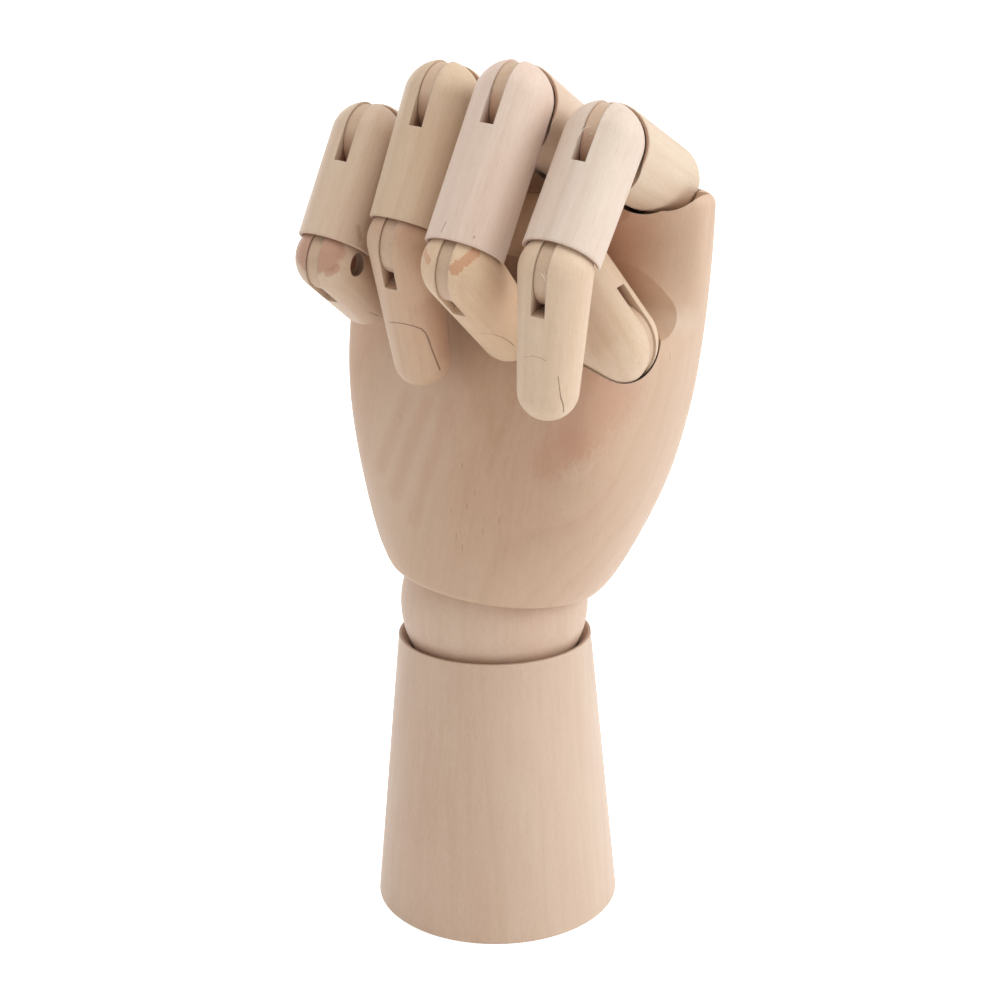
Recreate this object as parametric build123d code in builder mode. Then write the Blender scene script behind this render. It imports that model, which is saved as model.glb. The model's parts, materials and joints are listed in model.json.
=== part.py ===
"""Jointed wooden hand on a turned forearm stand, posed as a closed fist.

Millimetres, +Z up, origin at the centre of the stand's foot. The palm faces -Y and the thumb is on the
+X side. Every finger segment ends in a dome that sits in a cup of the segment before it, and turns on a
steel pin through a thin wooden tongue.
"""

import os
from collections import namedtuple
from math import cos, exp, pi, radians, sin, sqrt

from build123d import *

# Forearm stand
foot_radius = 25.0
stand_height = 57.4
stand_edge_break = 0.3
lip_width = 0.55
dish_flare_depth = 1.7
dish_flare_width = 1.64
spring_bore_radius = 6.0
recess_radius = 10.0
recess_height = 16.0
plug_thickness = 6.0

# Wrist ball between the stand's dish and the palm's cup
ball_radius = 18.9
ball_rise = 6.6
ball_bore_waist_radius = 7.5
ball_bore_mouth_radius = 12.0
ball_clearance = 0.3

# Spring, cross pin and screw eye that pull the wrist together
wire_radius = 0.8
coil_radius = 3.4
coil_turns = 22
loop_radius = 3.2
cross_pin_radius = 1.5
cross_pin_length = 18.0
eye_wire_radius = 1.1
eye_radius = 4.6
eye_shank_radius = 2.0
eye_shank_length = 30.0
eye_drop = 1.15
link_gap = 0.5

# Palm
palm_roll = 7.9
palm_bottom_round = 1.0
palm_top_round = 2.2
mound_x = 24.0
mound_width = 11.0
web_drop = 2.6
shoulder_drop = 0.8
side_drop = 2.4
index_lip_side = 3.6
index_lip_radius = 6.0
side_reach = 14.0

# Hinges of the fingers and the thumb
dome_clearance = 0.3
knuckle_clearance = 0.45
rim_wall = 0.45
rim_setback = 2.4
rim_edge_break = 0.2
knuckle_play = 3.0
finger_bend_limit = 92.0
straight_play = 4.0
slot_width = 2.5
slot_end_gap = 0.45
tongue_thickness = 2.25
tongue_recess = 0.5
tongue_shank_width = 8.0
mortise_depth = 7.0
glue_gap = 0.05
pin_radius = 1.6
pin_running_clearance = 0.05
pin_press_clearance = 0.02
pin_mouth_radius = 2.1
pin_mouth_depth = 1.5
pin_blind_wall = 2.2

# Fingers: the gap to the finger before, the knuckle's depth and height on the palm, then for each segment
# its length, the radius of its dome, the tip's radius, and the bends of the three hinges in the fist
Finger = namedtuple("Finger", "name gap depth height lengths radii tip_radius bends pin_sides")
middle_finger_x = 5.5
middle_finger = Finger("middle", 0.0, 2.0, 90.8, (32.4, 29.3, 26.4), (6.9, 6.8, 6.4), 5.6, (70.2, 83.4, 82.5),
                       (-1, -1, -1))
index_finger = Finger("index", 1.9, 2.0, 88.7, (30.3, 23.3, 20.9), (6.9, 6.85, 6.25), 5.3, (73.1, 74.6, 40.5),
                      (-1, -1, -1))
ring_finger = Finger("ring", 1.1, 2.0, 89.0, (28.3, 25.2, 25.7), (6.8, 6.8, 6.2), 5.3, (68.7, 90.0, 47.5),
                     (-1, -1, -1))
little_finger = Finger("little", 0.9, 2.0, 82.3, (26.2, 22.5, 16.4), (6.6, 6.5, 6.1), 5.5, (72.8, 82.5, 82.1),
                       (-1, -1, 1))
segment_names = ("proximal", "medial", "distal")

# Thumb: its pivot on the palm, the swing axis, the direction of its tongue, and two segments
thumb_x = 23.4
thumb_y = -13.6
thumb_z = 61.5
thumb_axis = (-0.08, -0.98, -0.17)
thumb_tongue_angle = 90.0
thumb_lengths = (24.0, 17.0)
thumb_radii = (7.9, 6.2)
thumb_tip_radius = 5.5
thumb_bends = (40.0, 55.0)
thumb_open_limit = 15.0
# Scoop over the thumb's ledge: its left end, and its outline in depth and height from the knuckles down
scoop_left = 5.0
scoop_top = (-8.9, 84.5)
scoop_wall_foot = (-5.6, 69.0)
scoop_ledge = (-10.6, 62.1)
scoop_rim = (-40.0, 58.5)
thumb_close_limit = 64.0

# Palm stations from the wrist to the knuckles: height, centre across the hand, half width, front and back
# depth, squareness of the outline, and how far the thumb's mound stands out of the front
Station = namedtuple("Station", "height centre half_width front back squareness mound")
palm_stations = (
    Station(7.0, -0.5, 21.5, 20.7, 20.7, 2.0, 0.0),
    Station(13.0, -0.9, 25.5, 20.2, 20.2, 2.1, 0.8),
    Station(20.0, -1.1, 28.5, 19.3, 19.3, 2.2, 2.8),
    Station(28.0, -1.3, 31.4, 18.2, 18.4, 2.3, 5.6),
    Station(36.0, -1.5, 33.6, 16.9, 17.6, 2.4, 8.2),
    Station(44.0, -1.7, 35.1, 15.4, 16.8, 2.4, 10.5),
    Station(52.0, -1.7, 35.9, 13.7, 16.0, 2.4, 12.7),
    Station(60.0, -1.6, 36.0, 11.6, 15.1, 2.4, 12.6),
    Station(70.0, -1.5, 35.7, 8.3, 14.0, 2.4, 1.6),
    Station(80.0, -1.3, 34.9, 8.5, 12.9, 2.4, 0.2),
    Station(89.0, -1.25, 33.9, 8.6, 12.1, 2.4, 0.1),
    Station(98.0, -1.2, 32.8, 8.5, 11.2, 2.4, 0.0),
)
section_points = 28

wrist_height = stand_height + ball_rise
dish_radius = ball_radius + ball_clearance
flare_height = stand_height - dish_flare_depth
flare_radius = sqrt(dish_radius**2 - (wrist_height - flare_height) ** 2)
stand_top_radius = flare_radius + dish_flare_width + lip_width
palm_frame = Plane(
    origin=(0, 0, wrist_height),
    x_dir=(cos(radians(palm_roll)), 0, -sin(radians(palm_roll))),
    z_dir=(sin(radians(palm_roll)), 0, cos(radians(palm_roll))),
)


def palm_plane(x, y, z):
    """Plane square to the palm's length at a point given in the palm's own axes."""
    return Plane(palm_frame.from_local_coords((x, y, z)), x_dir=palm_frame.x_dir, z_dir=palm_frame.z_dir)


def advanced(frame, distance):
    """The frame moved along its own length."""
    return Plane(frame.origin + frame.z_dir * distance, x_dir=frame.x_dir, z_dir=frame.z_dir)


def bent(frame, angle):
    """The frame turned about its hinge axis, towards the palm for a positive angle."""
    length_dir = frame.z_dir * cos(radians(angle)) - frame.y_dir * sin(radians(angle))
    return Plane(frame.origin, x_dir=frame.x_dir, z_dir=length_dir)


def side_view(frame):
    """Plane across the hinge axis: its x runs to the back of the finger and its y along the finger."""
    return Plane(frame.origin, x_dir=frame.y_dir, z_dir=frame.x_dir)


def across(frame, side, start):
    """Plane for pins: its normal points to the given side along the hinge axis."""
    return Plane(frame.origin + frame.x_dir * (side * start), x_dir=frame.y_dir, z_dir=frame.x_dir * side)


def chain(root, lengths, bends):
    """For each hinge: the parent's frame at the pivot, and the turned frame of the segment after it."""
    frames = []
    parent = root
    for length, bend in zip(lengths, bends):
        own = bent(parent, bend)
        frames.append((parent, own))
        parent = advanced(own, length)
    return frames


def widest_radius(finger):
    """A finger is widest at the rim of its first segment, or at its knuckle."""
    return max(finger.radii[0], finger.radii[1] + rim_wall)


def finger_x(finger):
    """Place of a finger across the palm, from the thickness of its neighbours and the gaps between."""
    ring_x = middle_finger_x - widest_radius(middle_finger) - ring_finger.gap - widest_radius(ring_finger)
    places = {
        "index": middle_finger_x + widest_radius(middle_finger) + index_finger.gap + widest_radius(index_finger),
        "middle": middle_finger_x,
        "ring": ring_x,
        "little": ring_x - widest_radius(ring_finger) - little_finger.gap - widest_radius(little_finger),
    }
    return places[finger.name]


def finger_chain(finger):
    root = palm_plane(finger_x(finger), finger.depth, finger.height)
    return chain(root, finger.lengths, finger.bends)


def thumb_chain():
    origin = palm_frame.from_local_coords((thumb_x, thumb_y, thumb_z))
    axis = palm_frame.from_local_coords(thumb_axis) - palm_frame.origin
    angle = radians(thumb_tongue_angle)
    length_dir = palm_frame.x_dir * cos(angle) + palm_frame.z_dir * sin(angle)
    hinge = Plane(origin, x_dir=length_dir, z_dir=axis)
    root = Plane(origin, x_dir=axis, z_dir=hinge.x_dir)
    return chain(root, thumb_lengths, thumb_bends)


def save(builder, name):
    """Label a finished piece and write it to its own file."""
    builder.part.label = name
    export_step(builder.part, f"parts/{name}.step")


def socket_cut(pivot, radius, angles, reach):
    """Room in a parent for a dome and for its segment, as it turns between two angles."""
    low, high = angles
    with Locations(pivot.origin):
        Sphere(radius, mode=Mode.SUBTRACT)
    for angle in angles:
        with BuildSketch(bent(pivot, angle)) as bar:
            Circle(radius)
        extrude(bar.sketch, amount=reach, mode=Mode.SUBTRACT)
    fan = [(-reach * sin(radians(angle)), reach * cos(radians(angle))) for angle in (low, (low + high) / 2, high)]
    with BuildSketch(side_view(pivot)) as swing:
        with BuildLine():
            Polyline((0, 0), *fan, close=True)
        make_face()
    extrude(swing.sketch, amount=radius, both=True, mode=Mode.SUBTRACT)


def mortise_cut(pivot, radius):
    """Blind slot below a cup that the shank of a tongue is glued into."""
    depth = radius + mortise_depth
    with BuildSketch(advanced(pivot, -depth)) as shank:
        Rectangle(tongue_thickness + 2 * glue_gap, tongue_shank_width + 2 * glue_gap)
    extrude(shank.sketch, amount=depth, mode=Mode.SUBTRACT)


def make_segment(name, frame, length, base_radius, end_radius, pin_side, child_radius):
    """One turned segment: domed, slotted and bored at its base, cupped or rounded at its end."""
    slot_depth = base_radius - tongue_recess + slot_end_gap
    slot_reach = slot_depth + 2 * base_radius
    with BuildPart() as segment:
        with BuildSketch(side_view(frame)):
            with BuildLine():
                half = base_radius / sqrt(2)
                ThreePointArc((0, -base_radius), (half, -half), (base_radius, 0))
                if child_radius:
                    rim = length - rim_setback
                    shoulder = (end_radius, rim - rim_edge_break)
                    Polyline((base_radius, 0), shoulder, (end_radius - rim_edge_break, rim), (0, rim))
                    Line((0, rim), (0, -base_radius))
                else:
                    cap = end_radius / sqrt(2)
                    Line((base_radius, 0), (end_radius, length))
                    ThreePointArc((end_radius, length), (cap, length + cap), (0, length + end_radius))
                    Line((0, length + end_radius), (0, -base_radius))
            make_face()
        revolve(axis=Axis(frame.origin, frame.z_dir))
        with BuildSketch(side_view(frame)):
            with Locations((0, slot_depth)):
                Rectangle(slot_reach, slot_reach, align=(Align.CENTER, Align.MAX))
        extrude(amount=slot_width / 2, both=True, mode=Mode.SUBTRACT)
        with BuildSketch(across(frame, pin_side, pin_blind_wall - base_radius)):
            Circle(pin_radius + pin_press_clearance)
        extrude(amount=2 * base_radius, mode=Mode.SUBTRACT)
        with BuildSketch(across(frame, pin_side, base_radius - pin_mouth_depth)):
            Circle(pin_mouth_radius)
        extrude(amount=2 * pin_mouth_depth, mode=Mode.SUBTRACT)
        if child_radius:
            cup_radius = child_radius + dome_clearance
            pivot = advanced(frame, length)
            socket_cut(pivot, cup_radius, (0, finger_bend_limit), 2 * end_radius)
            mortise_cut(pivot, cup_radius)
    save(segment, name)


def make_tongue(name, pivot, dome_radius):
    """Flat tongue with a round end on the pivot and a shank that is glued into the parent."""
    shank = dome_radius + dome_clearance + mortise_depth - glue_gap
    with BuildPart() as tongue:
        with BuildSketch(side_view(pivot)):
            Circle(dome_radius - tongue_recess)
            Rectangle(tongue_shank_width, shank, align=(Align.CENTER, Align.MAX))
            Circle(pin_radius + pin_running_clearance, mode=Mode.SUBTRACT)
        extrude(amount=tongue_thickness / 2, both=True)
    save(tongue, name)


def make_pin(name, frame, dome_radius, pin_side):
    """Steel pin, a press fit in the segment's two cheeks and a running fit in the tongue."""
    with BuildPart() as pin:
        with BuildSketch(across(frame, pin_side, pin_blind_wall - dome_radius)):
            Circle(pin_radius)
        extrude(amount=2 * dome_radius - pin_blind_wall - pin_mouth_depth)
    save(pin, name)


def make_hinge(name, parent, frame, dome_radius, pin_side):
    make_tongue(f"{name}_tongue", parent, dome_radius)
    make_pin(f"{name}_pin", frame, dome_radius, pin_side)


def palm_outline(station):
    """Rounded outline of the palm at one height: a squared oval, with the thumb's mound on its front."""
    points = []
    power = 2 / station.squareness
    for step in range(section_points):
        angle = 2 * pi * step / section_points
        reach = station.half_width * abs(cos(angle)) ** power
        x = station.centre + (reach if cos(angle) >= 0 else -reach)
        rise = abs(sin(angle)) ** power
        if sin(angle) >= 0:
            y = station.back * rise
        else:
            bulge = station.mound * exp(-(((x - mound_x) / mound_width) ** 2))
            y = -(station.front + bulge) * rise
        points.append((x, y))
    return points


fingers = (index_finger, middle_finger, ring_finger, little_finger)
os.makedirs("parts", exist_ok=True)

# Forearm stand: a turned cone with a dish on top and a stepped bore for the spring
bore_top = wrist_height - sqrt(dish_radius**2 - spring_bore_radius**2)
dish_middle_radius = (flare_radius + spring_bore_radius) / 2
dish_middle = (dish_middle_radius, wrist_height - sqrt(dish_radius**2 - dish_middle_radius**2))
with BuildPart() as stand:
    with BuildSketch(Plane.XZ):
        with BuildLine():
            Polyline(
                (spring_bore_radius, bore_top),
                (spring_bore_radius, recess_height),
                (recess_radius, recess_height),
                (recess_radius, 0),
                (foot_radius - stand_edge_break, 0),
                (foot_radius, stand_edge_break),
                (stand_top_radius, stand_height),
                (stand_top_radius - lip_width, stand_height),
                (flare_radius, flare_height),
            )
            ThreePointArc((flare_radius, flare_height), dish_middle, (spring_bore_radius, bore_top))
        make_face()
    revolve(axis=Axis.Z)
save(stand, "forearm_stand")

# Wooden plug that closes the recess under the stand
with BuildPart() as plug:
    Cylinder(recess_radius - glue_gap, plug_thickness, align=(Align.CENTER, Align.CENTER, Align.MIN))
save(plug, "stand_plug")

# Wrist ball with a waisted bore, so that the eye can lean in it
ball_mouth_height = sqrt(ball_radius**2 - ball_bore_mouth_radius**2)
with BuildPart() as ball:
    with BuildSketch(Plane.XZ):
        with BuildLine():
            ThreePointArc(
                (ball_bore_mouth_radius, wrist_height - ball_mouth_height),
                (ball_radius, wrist_height),
                (ball_bore_mouth_radius, wrist_height + ball_mouth_height),
            )
            Polyline(
                (ball_bore_mouth_radius, wrist_height + ball_mouth_height),
                (ball_bore_waist_radius, wrist_height),
                (ball_bore_mouth_radius, wrist_height - ball_mouth_height),
            )
        make_face()
    revolve(axis=Axis.Z)
save(ball, "wrist_ball")

# Cross pin under the bore, pulled against the ceiling of the recess
cross_pin_height = recess_height - cross_pin_radius
with BuildPart() as cross_pin:
    with BuildSketch(Plane.YZ.offset(-cross_pin_length / 2)):
        with Locations((0, cross_pin_height)):
            Circle(cross_pin_radius)
    extrude(amount=cross_pin_length)
save(cross_pin, "spring_cross_pin")

# Spring: close-wound turns with a loop at each end, one round the cross pin and one through the eye
eye_centre = eye_radius - eye_drop
loop_top = wrist_height - eye_drop + eye_wire_radius + wire_radius + link_gap
low_loop_height = cross_pin_height - cross_pin_radius - wire_radius - glue_gap + loop_radius
high_loop_height = loop_top - loop_radius
coil_low = low_loop_height + loop_radius - 2 * wire_radius
coil_high = high_loop_height - loop_radius + 2 * wire_radius
coil_pitch = (coil_high - coil_low) / coil_turns
with BuildPart() as spring:
    with BuildSketch(Plane.XZ):
        with BuildLine():
            for turn in range(coil_turns):
                low = coil_low + turn * coil_pitch
                middle = (coil_radius + wire_radius, low + coil_pitch / 2)
                ThreePointArc((coil_radius, low), middle, (coil_radius, low + coil_pitch))
            Polyline(
                (coil_radius, coil_high),
                (coil_radius - wire_radius, coil_high),
                (coil_radius - wire_radius, coil_low),
                (coil_radius, coil_low),
            )
        make_face()
    revolve(axis=Axis.Z)
    for loop_height in (low_loop_height, high_loop_height):
        with Locations(Plane((0, 0, loop_height), z_dir=(1, 0, 0))):
            Torus(loop_radius, wire_radius)
save(spring, "wrist_spring")

# Screw eye in the palm, which the spring pulls on
shank_low = eye_centre + eye_radius - eye_wire_radius / 2
with BuildPart() as eye:
    with Locations(Plane(palm_plane(0, 0, eye_centre).origin, z_dir=palm_frame.y_dir)):
        Torus(eye_radius, eye_wire_radius)
    with BuildSketch(palm_plane(0, 0, shank_low)):
        Circle(eye_shank_radius)
    extrude(amount=eye_shank_length)
save(eye, "wrist_screw_eye")

# Palm: a loft through its stations, trimmed over the knuckles, then cut for wrist, fingers and thumb
knuckles = [(finger_x(finger), finger.height) for finger in fingers]
webs = [((x1 + x2) / 2, (z1 + z2) / 2 - web_drop) for (x1, z1), (x2, z2) in zip(knuckles, knuckles[1:])]
right_edge = knuckles[0][0] + widest_radius(index_finger)
left_edge = knuckles[-1][0] - widest_radius(little_finger)
widest = max(station.half_width for station in palm_stations)
top_line = [
    (widest + side_reach, index_finger.height - side_drop),
    (right_edge, index_finger.height - shoulder_drop),
    *webs,
    (left_edge, little_finger.height - web_drop - shoulder_drop),
    (-widest - side_reach, little_finger.height - side_reach),
]
sky = palm_stations[-1].height + side_reach
thumb_root = thumb_chain()[0][0]
with BuildPart() as palm:
    for station in palm_stations:
        with BuildSketch(palm_plane(0, 0, station.height)):
            with BuildLine():
                Spline(*palm_outline(station), periodic=True)
            make_face()
    loft()
    behind = palm_frame.origin + palm_frame.y_dir * foot_radius
    with BuildSketch(Plane(behind, x_dir=palm_frame.x_dir, z_dir=-palm_frame.y_dir)):
        with BuildLine():
            Spline(*top_line)
            Polyline(top_line[-1], (top_line[-1][0], sky), (top_line[0][0], sky), top_line[0])
        make_face()
    extrude(amount=2 * foot_radius, mode=Mode.SUBTRACT)
    palm_length = Axis(palm_frame.origin, palm_frame.z_dir)
    fillet(palm.faces().sort_by(palm_length)[0].edges(), radius=palm_bottom_round)
    fillet(palm.faces().sort_by(palm_length)[-1].edges(), radius=palm_top_round)
    with Locations(palm_frame.origin):
        Sphere(dish_radius, mode=Mode.SUBTRACT)
    with BuildSketch(palm_plane(0, 0, shank_low)):
        Circle(eye_shank_radius + pin_running_clearance)
    extrude(amount=eye_shank_length + glue_gap, mode=Mode.SUBTRACT)
    for finger in fingers:
        root = finger_chain(finger)[0][0]
        cup_radius = finger.radii[0] + knuckle_clearance
        socket_cut(root, cup_radius, (-straight_play, finger.bends[0] + knuckle_play), foot_radius)
        mortise_cut(root, cup_radius)
    index_root = finger_chain(index_finger)[0][0]
    lip = Plane(index_root.origin + index_root.x_dir * index_lip_side, index_root.x_dir, index_root.z_dir)
    with BuildSketch(bent(lip, index_finger.bends[0] + knuckle_play)) as lip_cut:
        Circle(index_lip_radius)
    extrude(lip_cut.sketch, amount=foot_radius, mode=Mode.SUBTRACT)
    scoop_end = palm_frame.from_local_coords((scoop_left, 0, 0))
    with BuildSketch(Plane(scoop_end, palm_frame.y_dir, palm_frame.x_dir)) as scoop:
        with BuildLine():
            Line(scoop_top, scoop_wall_foot)
            wall_run = Vector(*scoop_wall_foot) - Vector(*scoop_top)
            TangentArc(scoop_wall_foot, scoop_ledge, tangent=wall_run)
            Polyline(scoop_ledge, scoop_rim, (scoop_rim[0], scoop_top[1]), scoop_top)
        make_face()
    extrude(scoop.sketch, amount=2 * foot_radius, mode=Mode.SUBTRACT)
    thumb_cup = thumb_radii[0] + dome_clearance
    socket_cut(thumb_root, thumb_cup, (-thumb_open_limit, thumb_close_limit), 2 * foot_radius)
    mortise_cut(thumb_root, thumb_cup)
save(palm, "palm")

# Fingers
for finger in fingers:
    hinges = finger_chain(finger)
    end_radii = (finger.radii[1] + rim_wall, finger.radii[2] + rim_wall, finger.tip_radius)
    child_radii = (finger.radii[1], finger.radii[2], None)
    for place, segment_name in enumerate(segment_names):
        name = f"{finger.name}_{segment_name}"
        parent, frame = hinges[place]
        radius, side = finger.radii[place], finger.pin_sides[place]
        make_segment(name, frame, finger.lengths[place], radius, end_radii[place], side, child_radii[place])
        make_hinge(name, parent, frame, radius, side)

# Thumb
thumb_ends = (thumb_radii[1] + rim_wall, thumb_tip_radius)
thumb_children = (thumb_radii[1], None)
for place, segment_name in enumerate(("proximal", "distal")):
    name = f"thumb_{segment_name}"
    parent, frame = thumb_chain()[place]
    radius = thumb_radii[place]
    make_segment(name, frame, thumb_lengths[place], radius, thumb_ends[place], -1, thumb_children[place])
    make_hinge(name, parent, frame, radius, -1)
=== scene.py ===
"""Looks of a jointed wooden hand: pale sanded wood, slotted hinges and a plain white studio."""

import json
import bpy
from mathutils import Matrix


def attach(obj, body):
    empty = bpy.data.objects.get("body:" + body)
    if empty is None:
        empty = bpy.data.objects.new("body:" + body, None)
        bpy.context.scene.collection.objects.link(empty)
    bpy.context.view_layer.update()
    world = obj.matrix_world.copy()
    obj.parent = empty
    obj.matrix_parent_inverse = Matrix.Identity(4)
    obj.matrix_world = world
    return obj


bl_info = {
    "name": "Jointed wooden hand",
    "version": (1, 0, 0),
    "blender": (4, 5, 0),
    "location": "View3D > Sidebar > Wooden hand",
    "description": "Finishes the packed wooden hand and sets it in a plain studio",
    "category": "Object",
}

from math import cos, radians, sin

import bmesh
import bpy
import numpy as np
from mathutils import Matrix, Vector

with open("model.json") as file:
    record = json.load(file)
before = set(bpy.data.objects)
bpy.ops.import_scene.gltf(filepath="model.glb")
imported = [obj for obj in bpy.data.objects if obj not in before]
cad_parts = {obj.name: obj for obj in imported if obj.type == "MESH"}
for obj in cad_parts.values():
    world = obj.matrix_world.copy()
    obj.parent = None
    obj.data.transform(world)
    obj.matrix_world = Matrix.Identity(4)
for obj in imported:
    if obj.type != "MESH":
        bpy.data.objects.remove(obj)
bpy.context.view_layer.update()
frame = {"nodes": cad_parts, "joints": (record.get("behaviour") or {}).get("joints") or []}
nodes = frame["nodes"]
joints = {joint["name"]: joint for joint in frame["joints"]}
MM = 0.001
# Points of a new mesh that lie closer than this, in metres, are one point
SAME_POINT = 1e-8
FINGERS = ("index", "middle", "ring", "little")
JOINT_WORDS = ("knuckle", "middle_joint", "tip_joint")
SEGMENTS = ("proximal", "medial", "distal")
THUMB_WORDS = ("swing", "tip_joint")
THUMB_SEGMENTS = ("proximal", "distal")
# A hinge slot's half width, the depths where its sawn walls start to darken with painted shade and are
# darkest, and how strongly
SLOT_HALF = 1.28
SLOT_SHADE_DEPTHS = (0.3, 2.4)
SLOT_SHADE_STRENGTH = 0.85
# Brown on cut ends: its strength, and how far a face must turn towards the grain for it to start and be full
SEGMENT_ENDS = (0.8, 0.82, 0.97)
TONGUE_ENDS = (0.25, 0.82, 0.97)
STAND_ENDS = (0.35, 0.35, 0.55)
# What a wood's colour is multiplied by in its pinker patches and in its late wood
PINK_TONE = (0.99, 0.95, 0.955)
LATE_TONE = (0.72, 0.6, 0.5)


def srgb(red, green, blue):
    """Linear colour of a screen colour given as three numbers up to 255."""
    share = np.array((red, green, blue)) / 255
    return tuple(np.where(share <= 0.04045, share / 12.92, ((share + 0.055) / 1.055) ** 2.4))


def colour_property(name, description, *screen):
    return bpy.props.FloatVectorProperty(
        name=name, description=description, subtype="COLOR", size=3, min=0, max=1, default=srgb(*screen)
    )


def length_property(name, description, millimetres):
    return bpy.props.FloatProperty(
        name=name, description=description, unit="LENGTH", precision=5, min=0, default=millimetres * MM
    )


def share_property(name, description, default):
    return bpy.props.FloatProperty(
        name=name, description=description, subtype="FACTOR", min=0, soft_max=1, default=default
    )


def power_property(name, description, watts):
    return bpy.props.FloatProperty(name=name, description=description, unit="POWER", min=0, default=watts)


class HandWoods(bpy.types.PropertyGroup):
    """Colours of the woods and the steel."""

    stand: colour_property("Stand", "Forearm stand and its plug", 212, 186, 163)
    ball: colour_property("Ball", "Wrist ball", 217, 191, 168)
    palm: colour_property("Palm", "Palm block", 210, 176, 148)
    # Also laid in the thumb's recess, partly as heartwood and partly as painted shade under the fingers
    palm_flush: colour_property("Palm flush", "Reddish heartwood in the palm", 190, 138, 110)
    # Laid on the palm's right side and bottom as painted light, and on its left front as a paler tone
    palm_light: colour_property("Palm light", "Paler sapwood at the palm's sides", 218, 194, 170)
    index: colour_property("Index", "Index finger", 228, 208, 188)
    middle: colour_property("Middle", "Middle finger", 230, 208, 191)
    ring: colour_property("Ring", "Ring finger", 217, 191, 163)
    little: colour_property("Little", "Little finger", 221, 197, 172)
    thumb: colour_property("Thumb", "Thumb", 232, 209, 182)
    tongue: colour_property("Tongue", "Thin tongues in the slots", 211, 184, 157)
    stain: colour_property("Stain", "Orange brown knots and stains", 200, 146, 110)
    blush: colour_property("Blush", "Pink brown patches", 178, 126, 102)
    # Also laid on the medial tongues as painted shade where they run down into their slots
    rim: colour_property("Rim", "End grain darkened by the cutter", 164, 118, 92)
    # Brown of the sawn walls, laid on deeper down in the slots as painted shade, and mixed into the painted
    # shade on the pin in the open hole
    slot: colour_property("Slot", "Sawn walls down in the slots", 138, 88, 64)
    # Also laid on the walls of the open pin hole and on the pin there as painted shade
    crack: colour_property("Crack", "Hairline cracks and ring lines", 104, 68, 48)
    # Also laid on the stand's right side as painted light, on sharp edges as wear and painted highlight, and
    # in two pale spots on the palm
    pale: colour_property("Pale", "Worn edges and loose fibres", 236, 220, 202)
    steel: colour_property("Steel", "Pins, spring and screw eye", 176, 172, 166)


class HandGrain(bpy.types.PropertyGroup):
    """Sizes and strengths of the grain that all the woods share."""

    ring_spacing: length_property("Ring spacing", "Distance between growth rings", 3.4)
    edge_rounding: length_property("Edge rounding", "How far sawn edges are broken", 0.25)
    bump_depth: length_property("Grain depth", "Depth of the grain left by sanding", 0.05)
    ring_strength: share_property("Rings", "Strength of the growth rings", 0.2)
    streak_strength: share_property("Streaks", "Strength of the streaks along the grain", 0.34)
    pore_strength: share_property("Pores", "Strength of the short dark pores", 0.14)
    # Sharp edges are paler partly from wear and partly as a painted highlight
    edge_wear_and_highlight: share_property("Pale edges", "How much paler the worn edges are", 0.65)


class HandStudio(bpy.types.PropertyGroup):
    """Floor, lights and camera."""

    floor_radius: length_property("Floor", "Radius of the flat floor", 1500)
    sky: share_property("Sky", "Strength of the even light from all round", 0.62)
    key: power_property("Key", "Power of the lamp at the right", 3.6)
    top: power_property("Top", "Power of the lamp above", 2.5)
    rim: power_property("Rim", "Power of the lamp at the left", 0.8)
    lens: bpy.props.FloatProperty(name="Lens", description="Focal length", unit="CAMERA", default=61.2)


class HandSettings(bpy.types.PropertyGroup):
    """Everything that a user may change."""

    woods: bpy.props.PointerProperty(type=HandWoods)
    grain: bpy.props.PointerProperty(type=HandGrain)
    studio: bpy.props.PointerProperty(type=HandStudio)


def points_of(node):
    """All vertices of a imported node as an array."""
    mesh = nodes[node].data
    flat = np.zeros(len(mesh.vertices) * 3, np.float32)
    mesh.vertices.foreach_get("co", flat)
    return flat.reshape(-1, 3).astype(float)


def unit(vector):
    return vector / np.linalg.norm(vector)


def place_from(origin, across, along):
    """Matrix of a piece's own axes: x across the hinge, z along the grain, y to the back."""
    z = unit(np.array(along, float))
    x = np.array(across, float)
    x = unit(x - z * (x @ z))
    place = np.eye(4)
    place[:3, 0], place[:3, 1], place[:3, 2], place[:3, 3] = x, np.cross(z, x), z, origin
    return Matrix(place.tolist())


def chain_places(finger, words, segments):
    """Own axes of each segment: from its pivot towards the next pivot, or towards the tip of the last one."""
    pivots = [np.array(joints[f"{finger}_{word}"]["pos_m"]) for word in words]
    last = points_of(f"{finger}_{segments[-1]}")
    tip = last[np.argmax(np.linalg.norm(last - pivots[-1], axis=1))]
    return {
        f"{finger}_{segment}": place_from(here, joints[f"{finger}_{word}"]["axis"], there - here)
        for segment, word, here, there in zip(segments, words, pivots, [*pivots[1:], tip])
    }


def all_places():
    """Own axes of every wooden piece, by node."""
    wrist = np.array(joints["wrist_turn"]["pos_m"])
    upright = place_from((0, 0, 0), (1, 0, 0), (0, 0, 1))
    places = {
        "forearm_stand": upright,
        "stand_plug": upright,
        "wrist_ball": place_from(wrist, (1, 0, 0), (0, 0, 1)),
        "palm": place_from(wrist, joints["wrist_nod"]["axis"], joints["wrist_turn"]["axis"]),
    }
    for finger in FINGERS:
        places.update(chain_places(finger, JOINT_WORDS, SEGMENTS))
    places.update(chain_places("thumb", THUMB_WORDS, THUMB_SEGMENTS))
    return places


PLACES = all_places()


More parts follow.
